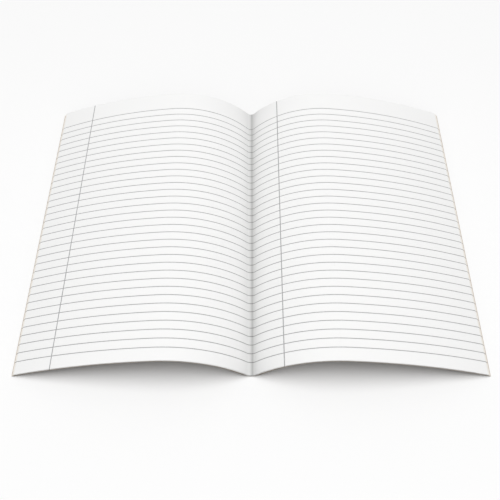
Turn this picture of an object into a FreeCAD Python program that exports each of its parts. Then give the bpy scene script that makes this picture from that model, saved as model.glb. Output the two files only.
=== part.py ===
import FreeCAD, Part
import math
import os

# Open composition notebook, lying face up at its middle spread.
# Millimetres. X runs across the two pages, Y along the spine, Z up.
# The origin is on the surface below it, at the middle of the spine.

# The leaves
page_height = 297.0          # along the spine
leaf_width = 209.0           # top leaf, measured along its curve
leaf_count = 16              # leaves in each half
leaf_thickness = 0.11
leaf_step = 0.21             # each leaf shows this much past the one above it

# The curve of the top leaf in each half, fold to fore edge
valley_radius = 5.0          # rounded valley that both halves share at the fold
shoulder_radius = 92.0       # tight curve next to the valley
shoulder_turn = 52.5         # degrees
outer_radius = 410.0         # flatter curve out to the fore edge

# The covers
cover_thickness = 0.4
cover_step = 0.8             # cover showing past the lowest leaf
cover_clearance = 0.3        # between a cover and the leaves

# The binding tape and the staples
tape_thickness = 0.3
tape_reach = 5.0             # from the fold to each crease of the tape
tape_flat = 1.4              # pressed flat along the middle, where the spine rests
tape_lap = 14.0              # band of the tape glued to each cover
lap_clearance = 0.5          # from a crease line to that band
glue_line = 0.1              # between the tape and the fold
hinge_clearance = 0.3        # between the tape and a cover's rounded edge
staple_wire = 0.4            # flattened square wire
staple_crown = 12.0
staple_clinch = 4.5          # each bent-over leg end
staple_inset = 74.0          # from each end of the spine to the middle of a staple
leaves_over_clinch = 2       # leaves turned over since the middle of the book

# Worked out from the sizes above
leaves_thickness = leaf_count * leaf_thickness
cover_top = leaves_thickness + cover_clearance
cover_bottom = cover_top + cover_thickness
cover_middle = cover_top + cover_thickness / 2
tape_top = leaves_thickness + glue_line
tape_bottom = tape_top + tape_thickness
cover_width = leaf_width + leaf_count * leaf_step + cover_step
hinge_at = tape_reach + hinge_clearance + cover_thickness / 2
lap_start = hinge_at + lap_clearance
lap_end = lap_start + tape_lap
lap_bottom = cover_bottom + tape_thickness
shoulder_length = shoulder_radius * math.radians(shoulder_turn)
half_height = page_height / 2
valley_level = math.sqrt((valley_radius + tape_bottom) ** 2 - (tape_flat / 2) ** 2)
fold_level = valley_level - valley_radius
flat_end = valley_radius * math.asin(tape_flat / 2 / (valley_radius + tape_bottom))


def arch_point(along, below):
    """Point of a half past the valley, laid with its start level.

    along is measured on the top leaf from the end of the valley, below is
    square to it. The answer is taken from the centre of the valley.
    """
    if along <= shoulder_length:
        turn = along / shoulder_radius
        radius = shoulder_radius - below
        return radius * math.sin(turn), radius * math.cos(turn) - shoulder_radius - valley_radius
    start_turn = math.radians(shoulder_turn)
    turn = start_turn + (along - shoulder_length) / outer_radius
    spread = shoulder_radius - outer_radius
    radius = outer_radius - below
    across = spread * math.sin(start_turn) + radius * math.sin(turn)
    up = spread * math.cos(start_turn) + radius * math.cos(turn) - shoulder_radius
    return across, up - valley_radius


def valley_slope():
    """Slope at the valley's end that lays cover edges and spine on one level.

    The arch is what the valley leaves of the cover's width, so this settles
    in a few steps.
    """
    slope = math.radians(45)
    for _ in range(20):
        across, up = arch_point(cover_width - valley_radius * slope, cover_bottom)
        slope = math.asin(-valley_level / math.hypot(across, up)) - math.atan2(up, across)
    return slope


slope = valley_slope()
valley_end = valley_radius * slope
shoulder_end = valley_end + shoulder_length


def place(along, below, side):
    """Point of the left (-1) or right (1) half in the notebook's own frame."""
    if along < valley_end:
        turn = along / valley_radius
        across, up = 0, -valley_radius - below
    else:
        turn = slope
        across, up = arch_point(along - valley_end, below)
    x = across * math.cos(turn) - up * math.sin(turn)
    z = across * math.sin(turn) + up * math.cos(turn)
    return FreeCAD.Vector(side * x, -half_height, valley_level + z)


def run(start, end, below, side):
    """Arcs that follow a half at one depth, split where its radius changes."""
    low, high = min(start, end), max(start, end)
    stops = [low] + [stop for stop in (valley_end, shoulder_end) if low < stop < high] + [high]
    if end < start:
        stops.reverse()
    edges = []
    for first, last in zip(stops, stops[1:]):
        middle = (first + last) / 2
        ends = [place(spot, below, side) for spot in (first, middle, last)]
        edges.append(Part.Arc(*ends).toShape())
    return edges


def line(start, end):
    return Part.LineSegment(start, end).toShape()


def extrude(edges):
    """Solid of the whole height of the notebook from its end outline."""
    wire = Part.Wire(Part.__sortEdges__(edges))
    return Part.Face(wire).extrude(FreeCAD.Vector(0, page_height, 0))


def fore_edge(side):
    """Stair of leaf edges, each leaf a little longer than the one above it."""
    edges = []
    corner = place(leaf_width, 0, side)
    for leaf in range(leaf_count):
        reach = leaf_width + leaf * leaf_step
        foot = place(reach, (leaf + 1) * leaf_thickness, side)
        edges.append(line(corner, foot))
        if leaf < leaf_count - 1:
            corner = place(reach + leaf_step, (leaf + 1) * leaf_thickness, side)
            edges.append(line(foot, corner))
    return edges


def staple(middle):
    """One staple: crown under the fold, legs up through it, ends bent in."""
    crown_bottom = fold_level - leaves_thickness
    clinch_top = fold_level - leaves_over_clinch * leaf_thickness
    half_wire = staple_wire / 2
    crown = Part.makeBox(staple_wire, staple_crown, staple_wire,
                         FreeCAD.Vector(-half_wire, middle - staple_crown / 2, crown_bottom))
    pieces = [crown]
    for end in (-1, 1):
        outside = middle + end * staple_crown / 2
        inside = outside - end * staple_wire
        leg_start = FreeCAD.Vector(-half_wire, min(outside, inside), crown_bottom)
        leg = Part.makeBox(staple_wire, staple_wire, clinch_top - crown_bottom, leg_start)
        tip = outside - end * staple_clinch
        clinch_start = FreeCAD.Vector(-half_wire, min(outside, tip), clinch_top - staple_wire)
        clinch = Part.makeBox(staple_wire, staple_clinch, staple_wire, clinch_start)
        pieces += [leg, clinch]
    return pieces[0].multiFuse(pieces[1:]).removeSplitter()


def make_staples():
    """The two staples that hold the folded leaves, one near each end."""
    places = (-half_height + staple_inset, half_height - staple_inset)
    return Part.makeCompound([staple(middle) for middle in places])


def make_pages(staples):
    """All the leaves as one folded block, arched on both sides of the fold."""
    under = leaf_width + (leaf_count - 1) * leaf_step
    edges = []
    for side in (-1, 1):
        edges += run(0, leaf_width, 0, side)
        edges += fore_edge(side)
        edges += run(under, 0, leaves_thickness, side)
    return extrude(edges).cut(staples)


def make_tape():
    """Binding tape glued round the outside of the fold, over the crowns."""
    edges = [line(place(flat_end, tape_bottom, -1), place(flat_end, tape_bottom, 1))]
    for side in (-1, 1):
        edges += run(0, tape_reach, tape_top, side)
        edges += run(flat_end, tape_reach, tape_bottom, side)
        edges.append(line(place(tape_reach, tape_top, side), place(tape_reach, tape_bottom, side)))
    return extrude(edges)


def make_cover(side):
    """Card cover under one half, with a rounded inner edge that it turns on.

    The tape's band is glued to the outside of the card next to that edge.
    """
    edges = run(hinge_at, cover_width, cover_top, side)
    edges.append(line(place(cover_width, cover_top, side), place(cover_width, cover_bottom, side)))
    edges += run(cover_width, lap_end, cover_bottom, side)
    edges.append(line(place(lap_end, cover_bottom, side), place(lap_end, lap_bottom, side)))
    edges += run(lap_end, lap_start, lap_bottom, side)
    edges.append(line(place(lap_start, lap_bottom, side), place(lap_start, cover_bottom, side)))
    edges += run(lap_start, hinge_at, cover_bottom, side)
    nose = place(hinge_at - cover_thickness / 2, cover_middle, side)
    start = place(hinge_at, cover_bottom, side)
    end = place(hinge_at, cover_top, side)
    edges.append(Part.Arc(start, nose, end).toShape())
    return extrude(edges)


def main():
    os.makedirs("parts", exist_ok=True)
    staples = make_staples()
    nodes = {
        "pages": make_pages(staples),
        "staples": staples,
        "spine_tape": make_tape(),
        "front_cover": make_cover(-1),
        "back_cover": make_cover(1),
    }
    for name, shape in nodes.items():
        shape.exportStep(os.path.join("parts", name + ".step"))
        print(name, "solids", len(shape.Solids), "valid", shape.isValid(), "volume", round(shape.Volume))
    hinge = place(hinge_at, cover_middle, 1)
    print("hinge x", round(hinge.x, 4), "z", round(hinge.z, 4))
    print("slope past the valley", round(math.degrees(slope), 2))


main()
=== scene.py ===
"""Looks of an open composition notebook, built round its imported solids.

The notebook lies face up on a pale floor. Metres; X runs across the spread,
Y along the spine towards the head of the pages, Z up.
"""

import logging
import math
import random
from dataclasses import dataclass, field
from enum import Enum
from functools import cached_property

import bmesh
import bpy
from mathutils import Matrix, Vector


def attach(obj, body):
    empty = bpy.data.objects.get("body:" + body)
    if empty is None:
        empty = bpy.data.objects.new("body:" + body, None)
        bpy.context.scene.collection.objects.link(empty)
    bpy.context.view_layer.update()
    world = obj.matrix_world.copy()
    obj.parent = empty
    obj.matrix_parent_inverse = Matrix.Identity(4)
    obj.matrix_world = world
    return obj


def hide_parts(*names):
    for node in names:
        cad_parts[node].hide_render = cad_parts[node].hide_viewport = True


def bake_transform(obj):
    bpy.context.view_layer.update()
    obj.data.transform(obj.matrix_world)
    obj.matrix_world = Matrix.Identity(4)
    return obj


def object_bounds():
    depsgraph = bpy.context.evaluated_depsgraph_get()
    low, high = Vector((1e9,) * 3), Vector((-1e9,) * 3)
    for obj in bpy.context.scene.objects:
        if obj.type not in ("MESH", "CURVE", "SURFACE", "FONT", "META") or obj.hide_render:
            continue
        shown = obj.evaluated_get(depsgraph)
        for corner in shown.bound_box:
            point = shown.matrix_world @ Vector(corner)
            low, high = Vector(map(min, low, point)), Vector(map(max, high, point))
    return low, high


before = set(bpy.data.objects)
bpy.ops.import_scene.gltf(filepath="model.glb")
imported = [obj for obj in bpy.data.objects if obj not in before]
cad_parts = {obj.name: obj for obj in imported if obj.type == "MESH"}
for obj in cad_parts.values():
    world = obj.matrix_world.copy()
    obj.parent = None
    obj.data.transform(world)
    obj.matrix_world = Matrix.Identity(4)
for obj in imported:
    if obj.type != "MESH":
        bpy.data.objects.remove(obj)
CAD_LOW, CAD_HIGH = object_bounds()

LOG = logging.getLogger("notebook")
MM = 0.001
HALF_HEIGHT = (CAD_HIGH.y - CAD_LOW.y) / 2
SHARP_EDGE = math.radians(35.0)
SLOPE_ROUNDS = 20

Triple = tuple[float, float, float]
Socket = bpy.types.NodeSocket
Value = Socket | float | Triple

# The binding tape's cloth, and the painted shade that its weave's relief puts on it
CLOTH: Triple = (0.66, 0.60, 0.52)
CLOTH_SHADE: Triple = (0.50, 0.44, 0.37)


class Side(Enum):
    """The two halves of the spread, as the sign of X."""

    LEFT = -1
    RIGHT = 1


class Body(Enum):
    """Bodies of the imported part."""

    LEAVES = "leaves"
    FRONT = "front_cover"
    BACK = "back_cover"


class Slot(Enum):
    """Material slots of the record that new pieces take their finish from."""

    PAPER = "leaf_paper"
    TAPE = "binding_tape"


def ease(share: float) -> float:
    """Smooth step of a share from 0 to 1."""
    return share * share * (3.0 - 2.0 * share)


@dataclass(frozen=True)
class HalfCurve:
    """The valley and arch that both halves follow, in metres, as the solids have them."""

    leaf_width: float = 209.0 * MM
    leaf_count: int = 16
    leaf_thickness: float = 0.11 * MM
    leaf_step: float = 0.21 * MM
    valley_radius: float = 5.0 * MM
    shoulder_radius: float = 92.0 * MM
    shoulder_turn: float = math.radians(52.5)
    outer_radius: float = 410.0 * MM
    cover_clearance: float = 0.3 * MM
    cover_thickness: float = 0.4 * MM
    cover_step: float = 0.8 * MM
    glue_line: float = 0.1 * MM
    tape_thickness: float = 0.3 * MM
    tape_reach: float = 5.0 * MM
    tape_flat: float = 1.4 * MM
    tape_lap: float = 14.0 * MM
    hinge_clearance: float = 0.3 * MM
    lap_clearance: float = 0.5 * MM

    @property
    def stack(self) -> float:
        """Thickness of the leaves in one half."""
        return self.leaf_count * self.leaf_thickness

    @property
    def shoulder_length(self) -> float:
        """Length of the tight arc along the top leaf."""
        return self.shoulder_radius * self.shoulder_turn

    @property
    def cover_bottom(self) -> float:
        """Depth of a cover's outside below the top leaf."""
        return self.stack + self.cover_clearance + self.cover_thickness

    @property
    def cover_width(self) -> float:
        """Reach of a cover along the curve, from the fold."""
        return self.leaf_width + self.leaf_count * self.leaf_step + self.cover_step

    @property
    def tape_bottom(self) -> float:
        """Depth of the tape's outside below the top leaf."""
        return self.stack + self.glue_line + self.tape_thickness

    @property
    def valley_level(self) -> float:
        """Height above the floor of the axis that the valley curves round."""
        return math.sqrt((self.valley_radius + self.tape_bottom) ** 2 - (self.tape_flat / 2) ** 2)

    @property
    def lap_start(self) -> float:
        """Where the tape's band on a cover begins, along the curve."""
        hinge_at = self.tape_reach + self.hinge_clearance + self.cover_thickness / 2
        return hinge_at + self.lap_clearance

    def arch_point(self, along: float, below: float) -> tuple[float, float]:
        """Point of a half past the valley, laid with its start level.

        Args:
            along: distance on the top leaf from the end of the valley.
            below: depth below the top leaf, square to it.

        Returns:
            Distance across and height, from the valley's axis.
        """
        if along <= self.shoulder_length:
            turn = along / self.shoulder_radius
            radius = self.shoulder_radius - below
            across, up = radius * math.sin(turn), radius * math.cos(turn)
        else:
            turn = self.shoulder_turn + (along - self.shoulder_length) / self.outer_radius
            spread = self.shoulder_radius - self.outer_radius
            radius = self.outer_radius - below
            across = spread * math.sin(self.shoulder_turn) + radius * math.sin(turn)
            up = spread * math.cos(self.shoulder_turn) + radius * math.cos(turn)
        return across, up - self.shoulder_radius - self.valley_radius

    @cached_property
    def slope(self) -> float:
        """Slope at the valley's end that lays spine and cover edges on the floor.

        Returns:
            The slope in radians, which settles in a few steps.
        """
        slope = math.radians(45.0)
        for _ in range(SLOPE_ROUNDS):
            across, up = self.arch_point(self.cover_width - self.valley_radius * slope, self.cover_bottom)
            slope = math.asin(-self.valley_level / math.hypot(across, up)) - math.atan2(up, across)
        return slope

    @property
    def valley_end(self) -> float:
        """Length of the valley's arc in one half, along the top leaf."""
        return self.valley_radius * self.slope

    def point(self, along: float, below: float, side: Side, y: float = 0.0) -> Vector:
        """Point of one half in the notebook's own frame.

        Args:
            along: distance from the fold on the top leaf.
            below: depth below the top leaf.
            side: which half.
            y: place along the spine.

        Returns:
            The point, in metres.
        """
        if along < self.valley_end:
            turn = along / self.valley_radius
            across, up = 0.0, -self.valley_radius - below
        else:
            turn = self.slope
            across, up = self.arch_point(along - self.valley_end, below)
        x = across * math.cos(turn) - up * math.sin(turn)
        z = across * math.sin(turn) + up * math.cos(turn)
        return Vector((side.value * x, y, self.valley_level + z))

    @property
    def valley_centre(self) -> Vector:
        """A point on the axis that the valley curves round."""
        return Vector((0.0, 0.0, self.valley_level))

    def shoulder_centre(self, side: Side) -> Vector:
        """Centre of one half's tight arc."""
        return self.point(self.valley_end, self.shoulder_radius, side)

    def outer_centre(self, side: Side) -> Vector:
        """Centre of one half's flatter arc."""
        return self.point(self.leaf_width, self.outer_radius, side)


CURVE = HalfCurve()


class NodeBench:
    """A node tree, with short calls for the nodes it needs."""

    def __init__(self, tree: bpy.types.NodeTree, output: str) -> None:
        """Empties a tree and gives it its output node.

        Args:
            tree: the tree of a material or world.
            output: Blender's name of the output node's type.
        """
        self.tree = tree
        self.tree.nodes.clear()
        self.output = self.tree.nodes.new(output)

    def link(self, source: Socket, target: Socket) -> None:
        """Joins an output socket to an input socket."""
        self.tree.links.new(source, target)

    def feed(self, value: Value, target: Socket) -> None:
        """Sets an input.

        Args:
            value: a socket to join, a number, or a colour.
            target: the input socket.
        """
        if isinstance(value, Socket):
            self.link(value, target)
        elif isinstance(value, tuple):
            target.default_value = (*value, 1.0)
        else:
            target.default_value = value

    def math(self, operation: str, first: Value, second: Value = 0.0) -> Socket:
        """One Math node.

        Args:
            operation: Blender's name of the operation.
            first: first input, a socket or a number.
            second: second input.

        Returns:
            The output socket.
        """
        node = self.tree.nodes.new("ShaderNodeMath")
        node.operation = operation
        self.feed(first, node.inputs[0])
        self.feed(second, node.inputs[1])
        return node.outputs[0]

    def shown(self) -> Socket:
        """Tells rays that show a thing, directly or in gloss or glass, from rays of light.

        Returns:
            The socket, 1 for a ray that shows it and 0 for one of light.
        """
        path = self.tree.nodes.new("ShaderNodeLightPath")
        share = path.outputs["Is Camera Ray"]
        for ray in ("Is Glossy Ray", "Is Transmission Ray"):
            share = self.math("MAXIMUM", share, path.outputs[ray])
        return share

    def glow(self, kind: str, strength: float) -> Socket:
        """White light of its own.

        Args:
            kind: Blender's name of the node's type.
            strength: 1 shows as white.

        Returns:
            The shader's socket.
        """
        node = self.tree.nodes.new(kind)
        node.inputs["Color"].default_value = (1.0, 1.0, 1.0, 1.0)
        node.inputs["Strength"].default_value = strength
        return node.outputs[0]

    def mix_shaders(self, share: Socket, first: Socket, second: Socket) -> Socket:
        """Shader between two.

        Args:
            share: socket from 0, the first, to 1, the second.
            first: a shader's socket.
            second: another.

        Returns:
            The mixed shader's socket.
        """
        node = self.tree.nodes.new("ShaderNodeMixShader")
        for source, target in zip((share, first, second), node.inputs):
            self.link(source, target)
        return node.outputs[0]


@dataclass(frozen=True)
class Grain:
    """A noise: cells a metre, octaves, and its scale along X, Y and Z."""

    scale: float
    detail: float
    stretch: Triple = (1.0, 1.0, 1.0)


class MaterialBench(NodeBench):
    """A new material's node tree."""

    def __init__(self, name: str) -> None:
        """Starts an empty material.

        Args:
            name: name of the material.
        """
        self.material = bpy.data.materials.new(name)
        self.material.use_nodes = True
        super().__init__(self.material.node_tree, "ShaderNodeOutputMaterial")
        self.coordinates = self.tree.nodes.new("ShaderNodeTexCoord")

    def ramp(self, value: Socket, low: float, high: float, start: float = 0.0, end: float = 1.0) -> Socket:
        """Smooth step of a value from one number to another.

        Args:
            value: the socket to read.
            low: value where the step begins.
            high: value where it ends.
            start: result below low.
            end: result above high.

        Returns:
            The output socket.
        """
        node = self.tree.nodes.new("ShaderNodeMapRange")
        node.interpolation_type = "SMOOTHSTEP"
        self.feed(value, node.inputs["Value"])
        for name, number in (("From Min", low), ("From Max", high), ("To Min", start), ("To Max", end)):
            node.inputs[name].default_value = number
        return node.outputs["Result"]

    def noise(self, grain: Grain) -> Socket:
        """Noise on the object's own coordinates.

        Args:
            grain: its sizes.

        Returns:
            The noise value's socket.
        """
        mapping = self.tree.nodes.new("ShaderNodeMapping")
        mapping.inputs["Scale"].default_value = grain.stretch
        self.link(self.coordinates.outputs["Object"], mapping.inputs["Vector"])
        node = self.tree.nodes.new("ShaderNodeTexNoise")
        self.link(mapping.outputs[0], node.inputs["Vector"])
        node.inputs["Scale"].default_value = grain.scale
        node.inputs["Detail"].default_value = grain.detail
        return node.outputs[0]

    def split(self, name: str) -> tuple[Socket, Socket, Socket]:
        """The three parts of a coordinate.

        Args:
            name: which of the coordinates, such as Object.

        Returns:
            The sockets of its X, Y and Z.
        """
        node = self.tree.nodes.new("ShaderNodeSeparateXYZ")
        self.link(self.coordinates.outputs[name], node.inputs[0])
        return node.outputs[0], node.outputs[1], node.outputs[2]

    def mix(self, share: Value, first: Value, second: Value) -> Socket:
        """Colour between two.

        Args:
            share: from 0, the first, to 1, the second.
            first: a colour or its socket.
            second: another.

        Returns:
            The mixed colour's socket.
        """
        node = self.tree.nodes.new("ShaderNodeMix")
        node.data_type = "RGBA"
        for value, name in ((share, "Factor"), (first, "A"), (second, "B")):
            self.feed(value, node.inputs[name])
        return node.outputs["Result"]

    def bump(self, height: Socket, distance: float, strength: float) -> Socket:
        """Bump from a height.

        Args:
            height: socket from 0 to 1.
            distance: the relief's depth in metres.
            strength: share of it that shows.

        Returns:
            The normal's socket.
        """
        node = self.tree.nodes.new("ShaderNodeBump")
        node.inputs["Strength"].default_value = strength
        node.inputs["Distance"].default_value = distance
        self.link(height, node.inputs["Height"])
        return node.outputs[0]

    def surface(self, colour: Value, roughness: Value,
                normal: Socket | None = None) -> bpy.types.ShaderNodeBsdfPrincipled:
        """Principled shader joined to the output.

        Args:
            colour: socket or colour.
            roughness: socket or number.
            normal: socket of a bump, if any.

        Returns:
            The shader node.
        """
        shader = self.tree.nodes.new("ShaderNodeBsdfPrincipled")
        self.feed(colour, shader.inputs["Base Color"])
        self.feed(roughness, shader.inputs["Roughness"])
        if normal is not None:
            self.link(normal, shader.inputs["Normal"])
        self.link(shader.outputs[0], self.output.inputs["Surface"])
        return shader

    def weave(self, x: Socket, y: Socket, thread: float = 0.45 * MM) -> Socket:
        """Height of a plain weave.

        Args:
            x: place across the spread.
            y: place along the spine.
            thread: distance from one thread to the next.

        Returns:
            The socket of the height, from 0 to 1.
        """
        waves = [self.math("SINE", self.math("MULTIPLY", place, 2.0 * math.pi / thread)) for place in (x, y)]
        return self.math("ADD", self.math("MULTIPLY", self.math("MULTIPLY", *waves), 0.5), 0.5)


@dataclass(frozen=True)
class RuledPaper:
    """White writing paper with grey feint lines and a margin at each page's left."""

    paper: Triple = (0.960, 0.960, 0.955)
    mottle_dark: float = 0.93
    edge: Triple = (0.93, 0.91, 0.88)
    stair: Triple = (0.90, 0.87, 0.82)
    stair_fade: float = 0.2 * MM
    edge_up: float = 0.32
    page_up: float = 0.42
    ink: Triple = (0.31, 0.31, 0.315)
    ink_core: float = 0.35
    ink_reach: float = 0.65
    print_grain: Grain = Grain(2600.0, 2.0)
    print_band: tuple[float, float] = (0.30, 0.62)
    thin_ink: float = 0.62
    pitch: float = 8.0 * MM
    lines: int = 34
    foot: float = 11.5 * MM
    line_width: float = 0.74 * MM
    margin_width: float = 0.80 * MM
    left_margin: float = -164.2 * MM
    right_margin: float = 26.9 * MM
    # Painted shade towards the fold: depth and reach of each fall, its centre off the fold, and the colour
    # it darkens to.
    crease_shades: tuple[tuple[float, float], ...] = ((0.31, 2.0 * MM), (0.27, 7.0 * MM))
    crease_place: float = 1.0 * MM
    painted_shade_tone: Triple = (0.02, 0.022, 0.016)
    fibres: Grain = Grain(900.0, 4.0)
    fibre_tone: float = 0.03
    fibre_relief: float = 0.03 * MM
    relief_strength: float = 0.35
    clouds: Grain = Grain(22.0, 2.0)
    cloud_tone: float = 0.02
    roughness: float = 0.86
    specular: float = 0.25

    def stripe(self, sheet: MaterialBench, distance: Socket, width: float) -> Socket:
        """Soft-edged stripe round distance zero, 1 on the ink and 0 beside it."""
        away = sheet.math("ABSOLUTE", distance)
        return sheet.ramp(away, width * self.ink_core, width * self.ink_reach, 1.0, 0.0)

    def feint_lines(self, sheet: MaterialBench, y: Socket) -> Socket:
        """Share of ink that the feint lines put down.

        Args:
            sheet: the material being built.
            y: place along the spine.

        Returns:
            The socket of the share.
        """
        first = -HALF_HEIGHT + self.foot
        count = sheet.math("DIVIDE", sheet.math("SUBTRACT", y, first), self.pitch)
        nearest = sheet.math("MAXIMUM", sheet.math("ROUND", count), 0.0)
        nearest = sheet.math("MINIMUM", nearest, self.lines - 1.0)
        away = sheet.math("MULTIPLY", sheet.math("SUBTRACT", count, nearest), self.pitch)
        return self.stripe(sheet, away, self.line_width)

    def margins(self, sheet: MaterialBench, x: Socket, up: Socket) -> Socket:
        """Share of ink of the margin lines, at the left of every page.

        Args:
            sheet: the material being built.
            x: place across the spread.
            up: the surface's upward part, which tells a page from its back.

        Returns:
            The socket of the share.
        """
        across = sheet.math("MULTIPLY", x, sheet.math("SIGN", up))
        stripes = [self.stripe(sheet, sheet.math("SUBTRACT", across, place), self.margin_width)
                   for place in (self.left_margin, self.right_margin)]
        return sheet.math("MAXIMUM", *stripes)

    def gutter(self, sheet: MaterialBench, x: Socket) -> Socket:
        """Share of painted shade towards the fold: a narrow crease in a wider soft fall.

        Args:
            sheet: the material being built.
            x: place across the spread.

        Returns:
            The socket of the share.
        """
        away = sheet.math("ABSOLUTE", sheet.math("SUBTRACT", x, self.crease_place))
        total: Value = 0.0
        for depth, reach in self.crease_shades:
            fall = sheet.math("EXPONENT", sheet.math("DIVIDE", away, -reach))
            total = sheet.math("ADD", sheet.math("MULTIPLY", fall, depth), total)
        return total

    def sheet_colour(self, sheet: MaterialBench, x: Socket, flat: Socket, fibre: Socket) -> Socket:
        """Colour of the bare paper, mottled on its faces and warmer on its edges.

        Args:
            sheet: the material being built.
            x: place across the spread.
            flat: 1 on a page and 0 on an edge.
            fibre: fine noise of the fibres.

        Returns:
            The socket of the colour.
        """
        cloud = sheet.noise(self.clouds)
        mottle = sheet.math("ADD", sheet.math("MULTIPLY", fibre, self.fibre_tone),
                            sheet.math("MULTIPLY", cloud, self.cloud_tone))
        paper = sheet.mix(mottle, self.paper, tuple(part * self.mottle_dark for part in self.paper))
        top_edge = CURVE.point(CURVE.leaf_width, 0.0, Side.RIGHT).x
        stair = sheet.ramp(sheet.math("ABSOLUTE", x), top_edge, top_edge + self.stair_fade)
        return sheet.mix(flat, self.edge, sheet.mix(stair, paper, self.stair))

    def make(self) -> bpy.types.Material:
        """Builds the material.

        Returns:
            The new material.
        """
        sheet = MaterialBench("ruled_paper")
        x, y, _ = sheet.split("Object")
        _, _, up = sheet.split("Normal")
        flat = sheet.ramp(sheet.math("ABSOLUTE", up), self.edge_up, self.page_up)
        fibre = sheet.noise(self.fibres)
        cover = sheet.ramp(sheet.noise(self.print_grain), *self.print_band, self.thin_ink, 1.0)
        ink = sheet.math("MAXIMUM", self.feint_lines(sheet, y), self.margins(sheet, x, up))
        ink = sheet.math("MULTIPLY", sheet.math("MULTIPLY", ink, flat), cover)
        colour = sheet.mix(ink, self.sheet_colour(sheet, x, flat, fibre), self.ink)
        # Painted shade towards the fold, on the pages but not on their edges.
        shade = sheet.math("MULTIPLY", self.gutter(sheet, x), flat)
        colour = sheet.mix(shade, colour, self.painted_shade_tone)
        normal = sheet.bump(fibre, self.fibre_relief, self.relief_strength)
        shader = sheet.surface(colour, self.roughness, normal)
        shader.inputs["Specular IOR Level"].default_value = self.specular
        return sheet.material


@dataclass(frozen=True)
class CoverCard:
    """Uncoated tan card, with the binding tape's cloth where it laps over."""

    card: Triple = (0.62, 0.54, 0.45)
    fleck: Triple = (0.40, 0.31, 0.22)
    warm: Triple = (0.66, 0.57, 0.46)
    # Colour of the end faces: the card's cut edge, darkened further as painted shade.
    cut_and_shade: Triple = (0.24, 0.215, 0.19)
    cut_and_shade_facing: tuple[float, float] = (0.6, 0.8)
    outside_up: float = -0.02
    fibres: Grain = Grain(420.0, 5.0, (1.0, 0.35, 1.0))
    fibre_tone: float = 0.35
    fibre_relief: float = 0.6
    clouds: Grain = Grain(14.0, 3.0)
    cloud_tone: float = 0.25
    flecks: Grain = Grain(1400.0, 2.0, (0.5, 1.0, 1.0))
    fleck_band: tuple[float, float] = (0.62, 0.72)
    fleck_tone: float = 0.5
    cloth_weave_shade: float = 0.5
    relief: float = 0.05 * MM
    relief_strength: float = 0.5
    roughness: float = 0.82

    def card_colour(self, sheet: MaterialBench, fibres: Socket) -> Socket:
        """Colour of the card's faces: long fibres, soft clouds and dark flecks.

        Args:
            sheet: the material being built.
            fibres: noise of the fibres.

        Returns:
            The socket of the colour.
        """
        flecks = sheet.ramp(sheet.noise(self.flecks), *self.fleck_band)
        cloud = sheet.noise(self.clouds)
        colour = sheet.mix(sheet.math("MULTIPLY", fibres, self.fibre_tone), self.card, self.fleck)
        colour = sheet.mix(sheet.math("MULTIPLY", cloud, self.cloud_tone), colour, self.warm)
        return sheet.mix(sheet.math("MULTIPLY", flecks, self.fleck_tone), colour, self.fleck)

    def tape_band(self, sheet: MaterialBench, x: Socket, up: Socket) -> Socket:
        """Where the tape covers the card: next to the crease, on the outside.

        Args:
            sheet: the material being built.
            x: place across the spread.
            up: the surface's upward part.

        Returns:
            The socket, 1 on the tape and 0 on the card.
        """
        lap_edge = CURVE.point(CURVE.lap_start + CURVE.tape_lap, CURVE.cover_bottom, Side.RIGHT).x
        near_spine = sheet.math("LESS_THAN", sheet.math("ABSOLUTE", x), lap_edge)
        return sheet.math("MULTIPLY", near_spine, sheet.math("LESS_THAN", up, self.outside_up))

    def make(self) -> bpy.types.Material:
        """Builds the material.

        Returns:
            The new material.
        """
        sheet = MaterialBench("cover_card")
        x, y, _ = sheet.split("Object")
        _, along, up = sheet.split("Normal")
        fibres = sheet.noise(self.fibres)
        weave = sheet.weave(x, y)
        band = self.tape_band(sheet, x, up)
        # Painted shade that follows the tape's weave, where it laps over the card.
        cloth = sheet.mix(sheet.math("MULTIPLY", weave, self.cloth_weave_shade), CLOTH, CLOTH_SHADE)
        colour = sheet.mix(band, self.card_colour(sheet, fibres), cloth)
        # End faces take the dark cut colour, partly the card's cut edge and partly painted shade.
        cut_and_shade = sheet.ramp(sheet.math("ABSOLUTE", along), *self.cut_and_shade_facing)
        colour = sheet.mix(cut_and_shade, colour, sheet.mix(fibres, self.cut_and_shade, self.fleck))
        relief = sheet.math("ADD", sheet.math("MULTIPLY", fibres, self.fibre_relief),
                            sheet.math("MULTIPLY", weave, band))
        sheet.surface(colour, self.roughness, sheet.bump(relief, self.relief, self.relief_strength))
        return sheet.material


@dataclass(frozen=True)
class BindingCloth:
    """Woven binding tape, with painted shade that follows its weave and a random tone of wear."""

    weave_shade: float = 0.4
    wear: Grain = Grain(160.0, 3.0)
    wear_tone: float = 0.25
    relief: float = 0.06 * MM
    relief_strength: float = 0.6
    roughness: float = 0.78

    def make(self) -> bpy.types.Material:
        """Builds the material.

        Returns:
            The new material.
        """
        sheet = MaterialBench("binding_cloth")
        x, y, _ = sheet.split("Object")
        weave = sheet.weave(x, y)
        wear = sheet.noise(self.wear)
        # Painted shade that follows the weave, with a random tone of wear.
        share = sheet.math("ADD", sheet.math("MULTIPLY", weave, self.weave_shade),
                           sheet.math("MULTIPLY", wear, self.wear_tone))
        colour = sheet.mix(share, CLOTH, CLOTH_SHADE)
        sheet.surface(colour, self.roughness, sheet.bump(weave, self.relief, self.relief_strength))
        return sheet.material


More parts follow.
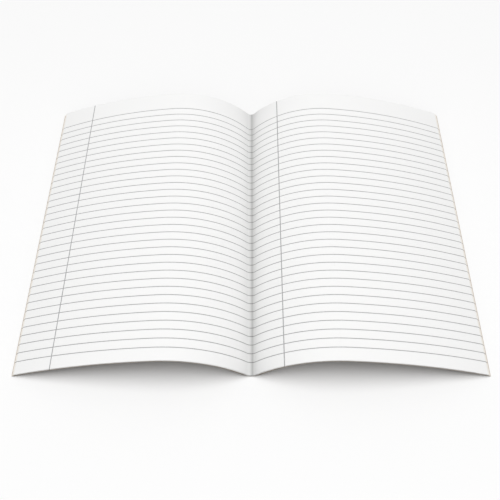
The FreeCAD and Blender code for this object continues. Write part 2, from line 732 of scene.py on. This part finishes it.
@dataclass(frozen=True)
class StapleWire:
    """Bright drawn wire with fine marks along it."""

    steel: Triple = (0.74, 0.74, 0.75)
    mark: Triple = (0.50, 0.50, 0.52)
    marks: Grain = Grain(4000.0, 3.0, (1.0, 0.08, 1.0))
    mark_band: tuple[float, float] = (0.2, 0.8)
    smooth: float = 0.22
    rough: float = 0.42
    relief: float = 0.01 * MM
    relief_strength: float = 0.4

    def make(self) -> bpy.types.Material:
        """Builds the material.

        Returns:
            The new material.
        """
        sheet = MaterialBench("staple_wire")
        marks = sheet.noise(self.marks)
        colour = sheet.mix(marks, self.steel, self.mark)
        roughness = sheet.ramp(marks, *self.mark_band, self.smooth, self.rough)
        shader = sheet.surface(colour, roughness, sheet.bump(marks, self.relief, self.relief_strength))
        shader.inputs["Metallic"].default_value = 1.0
        return sheet.material


def dress(piece: bpy.types.Object, material: bpy.types.Material) -> None:
    """Gives a piece one material in place of any it has."""
    piece.data.materials.clear()
    piece.data.materials.append(material)


def settle(name: str, work: bmesh.types.BMesh, material: bpy.types.Material) -> bpy.types.Object:
    """Turns a bmesh into a piece that sits at the origin.

    Args:
        name: the piece's name.
        work: the finished bmesh, which is freed.
        material: its finish.

    Returns:
        The new object.
    """
    bmesh.ops.recalc_face_normals(work, faces=work.faces)
    mesh = bpy.data.meshes.new(name)
    work.to_mesh(mesh)
    work.free()
    mesh.shade_smooth()
    mesh.set_sharp_from_angle(angle=SHARP_EDGE)
    piece = bpy.data.objects.new(name, mesh)
    bpy.context.scene.collection.objects.link(piece)
    dress(piece, material)
    return piece


def spin(work: bmesh.types.BMesh, geometry: list, centre: Vector, angle: float, steps: int) -> list:
    """Sweeps vertices and edges round an axis along the spine.

    Args:
        work: the bmesh that holds them.
        geometry: what is swept.
        centre: a point on the axis.
        angle: turn in radians, from Z towards X.
        steps: number of faces along the sweep.

    Returns:
        The swept geometry at the far end.
    """
    swept = bmesh.ops.spin(work, geom=geometry, cent=centre, axis=(0.0, 1.0, 0.0), angle=angle,
                           steps=steps, use_merge=False, use_duplicate=False)
    return swept["geom_last"]


def slide(work: bmesh.types.BMesh, grown: dict, distance: float) -> None:
    """Moves what an extrusion made along the spine.

    Args:
        work: the bmesh that holds it.
        grown: the extrusion's result.
        distance: how far, in metres.
    """
    moved = [item for item in grown["geom"] if isinstance(item, bmesh.types.BMVert)]
    bmesh.ops.translate(work, verts=moved, vec=(0.0, distance, 0.0))


@dataclass
class LeafBlock:
    """The folded sheets: one open spread on top of the others, nested at the fold."""

    paper: bpy.types.Material
    sink: float = 0.045 * MM
    gap: float = 0.018 * MM
    end_inset: float = 0.22 * MM
    fore_unevenness: float = 0.05 * MM
    valley_steps: int = 10
    shoulder_steps: int = 38
    outer_steps: int = 18
    draws: random.Random = field(default_factory=lambda: random.Random(11))

    def add_half(self, work: bmesh.types.BMesh, fold: list, reach: float, side: Side) -> None:
        """Sweeps the end face of one half of a sheet, out along its three arcs.

        Args:
            work: the bmesh that gets it.
            fold: the short edge across the sheet's thickness at the fold, and its vertices.
            reach: width of this leaf along the curve.
            side: which half.
        """
        outer_turn = (reach - CURVE.valley_end - CURVE.shoulder_length) / CURVE.outer_radius
        last = spin(work, fold, CURVE.valley_centre, -side.value * CURVE.slope, self.valley_steps)
        last = spin(work, last, CURVE.shoulder_centre(side), side.value * CURVE.shoulder_turn,
                    self.shoulder_steps)
        spin(work, last, CURVE.outer_centre(side), side.value * outer_turn, self.outer_steps)

    def add_sheet(self, work: bmesh.types.BMesh, number: int) -> None:
        """Adds one folded sheet to a bmesh.

        Args:
            work: the bmesh that gets it.
            number: 0 for the open spread, 1 for the sheet below it, and so on.
        """
        pitch = (CURVE.stack - self.sink) / CURVE.leaf_count
        top = self.sink + number * pitch
        uneven = self.fore_unevenness if number else 0.0
        insets = [self.draws.random() * self.end_inset if number else 0.0 for _ in range(2)]
        near = insets[0] - HALF_HEIGHT
        known = len(work.faces)
        verts = [work.verts.new(CURVE.point(0.0, depth, Side.RIGHT, near))
                 for depth in (top, top + pitch - self.gap)]
        fold = [*verts, work.edges.new(verts)]
        for side in Side:
            reach = CURVE.leaf_width + number * CURVE.leaf_step - self.draws.random() * uneven
            self.add_half(work, fold, reach, side)
        grown = bmesh.ops.extrude_face_region(work, geom=[*work.faces][known:], use_keep_orig=True)
        slide(work, grown, 2.0 * HALF_HEIGHT - sum(insets))

    def build(self, name: str, numbers: range) -> None:
        """Builds a piece of one or more sheets, which rides on the leaves' body.

        Args:
            name: the piece's name.
            numbers: the sheets, counted from the open spread down.
        """
        work = bmesh.new()
        for number in numbers:
            self.add_sheet(work, number)
        piece = settle(name, work, self.paper)
        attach(piece, Body.LEAVES.value)
        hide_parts("pages")
        LOG.info("%s: %d sheets, %d faces", name, len(numbers), len(piece.data.polygons))

    def make(self) -> None:
        """Builds the open spread and the sheets under it."""
        self.build("open_spread", range(1))
        self.build("inner_sheets", range(1, CURVE.leaf_count))


@dataclass
class Covers:
    """The two card covers, which stay as the solids have them."""

    card: bpy.types.Material

    def make(self) -> None:
        """Dresses both covers."""
        for body in (Body.FRONT, Body.BACK):
            dress(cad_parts[body.value], self.card)
            LOG.info("%s: dressed in card", body.value)


@dataclass
class Binding:
    """The spine tape, the staples and the tape where it bends at the creases."""

    cloth: bpy.types.Material
    wire: bpy.types.Material
    thickness: float = 0.12 * MM
    overlap: float = 0.9 * MM
    stand_off: float = 0.01 * MM
    steps: int = 10

    def crease_line(self, side: Side) -> list[Vector]:
        """Line across the crease, from the spine's tape to the band on the cover.

        Args:
            side: which half it is on.

        Returns:
            The line's points, at the near end.
        """
        start, end = CURVE.tape_reach - self.overlap, CURVE.lap_start + self.overlap
        band_bottom = CURVE.cover_bottom + CURVE.tape_thickness
        spots = []
        for step in range(self.steps + 1):
            share = step / self.steps
            depth = CURVE.tape_bottom + (band_bottom - CURVE.tape_bottom) * ease(share)
            along = start + (end - start) * share
            spots.append(CURVE.point(along, depth + self.stand_off, side, -HALF_HEIGHT))
        return spots

    def crease(self, side: Side) -> None:
        """Strip of tape that bridges the spine and one cover, and bends between them.

        Args:
            side: which half it is on.
        """
        work = bmesh.new()
        verts = [work.verts.new(spot) for spot in self.crease_line(side)]
        edges = [work.edges.new(pair) for pair in zip(verts, verts[1:])]
        slide(work, bmesh.ops.extrude_edge_only(work, edges=edges), 2.0 * HALF_HEIGHT)
        bmesh.ops.recalc_face_normals(work, faces=work.faces)
        if sum(face.normal.z for face in work.faces) > 0.0:
            bmesh.ops.reverse_faces(work, faces=work.faces)
        bmesh.ops.solidify(work, geom=work.faces[:], thickness=self.thickness)
        piece = settle("tape_crease_" + side.name.lower(), work, self.cloth)
        CURVE.point(CURVE.tape_reach, CURVE.tape_bottom, side)
        CURVE.point(CURVE.lap_start, CURVE.cover_bottom, side)
        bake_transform(piece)
        LOG.info("%s: %d faces", piece.name, len(piece.data.polygons))

    def make(self) -> None:
        """Dresses the tape and the staples, and bridges both creases."""
        dress(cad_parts["spine_tape"], self.cloth)
        dress(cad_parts["staples"], self.wire)
        LOG.info("spine_tape and staples: dressed")
        self.crease(Side.LEFT)
        self.crease(Side.RIGHT)


@dataclass
class Studio:
    """The floor, the soft light and the camera of the photograph."""

    floor_seen: Triple = (1.0, 1.0, 1.0)
    floor_bounce: Triple = (0.30, 0.30, 0.30)
    floor_roughness: float = 0.9
    floor_half: float = 3.0
    fade_start: float = 0.34
    fade_end: float = 1.1
    white: float = 1.0
    sky: float = 0.28
    lamp_energy: float = 82.0
    lamp_size: float = 3.3
    lamp_place: Triple = (0.0, -0.27, 3.0)
    lens: float = 48.20
    sensor: float = 36.0
    clip_start: float = 0.01
    pitch: float = math.radians(57.023)
    eye: Triple = (-0.938 * MM, -363.55 * MM, 524.87 * MM)

    def make_floor(self) -> None:
        """Pale floor that keeps the shadow, whitens far off and is clear from below."""
        work = bmesh.new()
        bmesh.ops.create_grid(work, x_segments=1, y_segments=1, size=self.floor_half)
        sheet = MaterialBench("studio_floor")
        shown = sheet.shown()
        shader = sheet.surface(sheet.mix(shown, self.floor_bounce, self.floor_seen), self.floor_roughness)
        shader.inputs["Specular IOR Level"].default_value = 0.0
        x, y, _ = sheet.split("Object")
        square = sheet.math("ADD", sheet.math("MULTIPLY", x, x), sheet.math("MULTIPLY", y, y))
        far = sheet.ramp(sheet.math("POWER", square, 0.5), self.fade_start, self.fade_end)
        lit = sheet.mix_shaders(sheet.math("MULTIPLY", far, shown), shader.outputs[0],
                                sheet.glow("ShaderNodeEmission", self.white))
        clear = sheet.tree.nodes.new("ShaderNodeBsdfTransparent").outputs[0]
        below = sheet.tree.nodes.new("ShaderNodeNewGeometry").outputs["Backfacing"]
        sheet.link(sheet.mix_shaders(below, lit, clear), sheet.output.inputs["Surface"])
        settle("studio_floor", work, sheet.material)

    def make_surroundings(self) -> None:
        """Even light from all round, which shows as white."""
        world = bpy.data.worlds.new("studio")
        world.use_nodes = True
        bench = NodeBench(world.node_tree, "ShaderNodeOutputWorld")
        around, seen = (bench.glow("ShaderNodeBackground", level) for level in (self.sky, self.white))
        bench.link(bench.mix_shaders(bench.shown(), around, seen), bench.output.inputs["Surface"])
        bpy.context.scene.world = world

    def make_lamp(self) -> None:
        """One large soft lamp overhead, aimed at the notebook."""
        lamp = bpy.data.lights.new("soft_lamp", "AREA")
        lamp.shape = "DISK"
        lamp.size = self.lamp_size
        lamp.energy = self.lamp_energy
        holder = bpy.data.objects.new("soft_lamp", lamp)
        holder.location = self.lamp_place
        holder.rotation_euler = (-Vector(self.lamp_place)).to_track_quat("-Z", "Y").to_euler()
        bpy.context.scene.collection.objects.link(holder)

    def make_camera(self) -> None:
        """Camera at the photograph's place, looking down along the spine."""
        data = bpy.data.cameras.new("camera")
        data.lens = self.lens
        data.sensor_width = self.sensor
        data.clip_start = self.clip_start
        camera = bpy.data.objects.new("camera", data)
        camera.location = self.eye
        camera.rotation_euler = (math.pi / 2.0 - self.pitch, 0.0, 0.0)
        bpy.context.scene.collection.objects.link(camera)
        bpy.context.scene.camera = camera

    def make(self) -> None:
        """Builds the whole studio."""
        bpy.context.scene.view_settings.view_transform = "Standard"
        self.make_camera()
        self.make_floor()
        self.make_surroundings()
        self.make_lamp()
        LOG.info("studio: floor, light and camera")


def main() -> None:
    """Builds the notebook and its studio, in order."""
    logging.basicConfig(level=logging.INFO, format="%(name)s: %(message)s")
    Studio().make()
    LeafBlock(RuledPaper().make()).make()
    Covers(CoverCard().make()).make()
    Binding(BindingCloth().make(), StapleWire().make()).make()


if __name__ == "__main__":
    main()
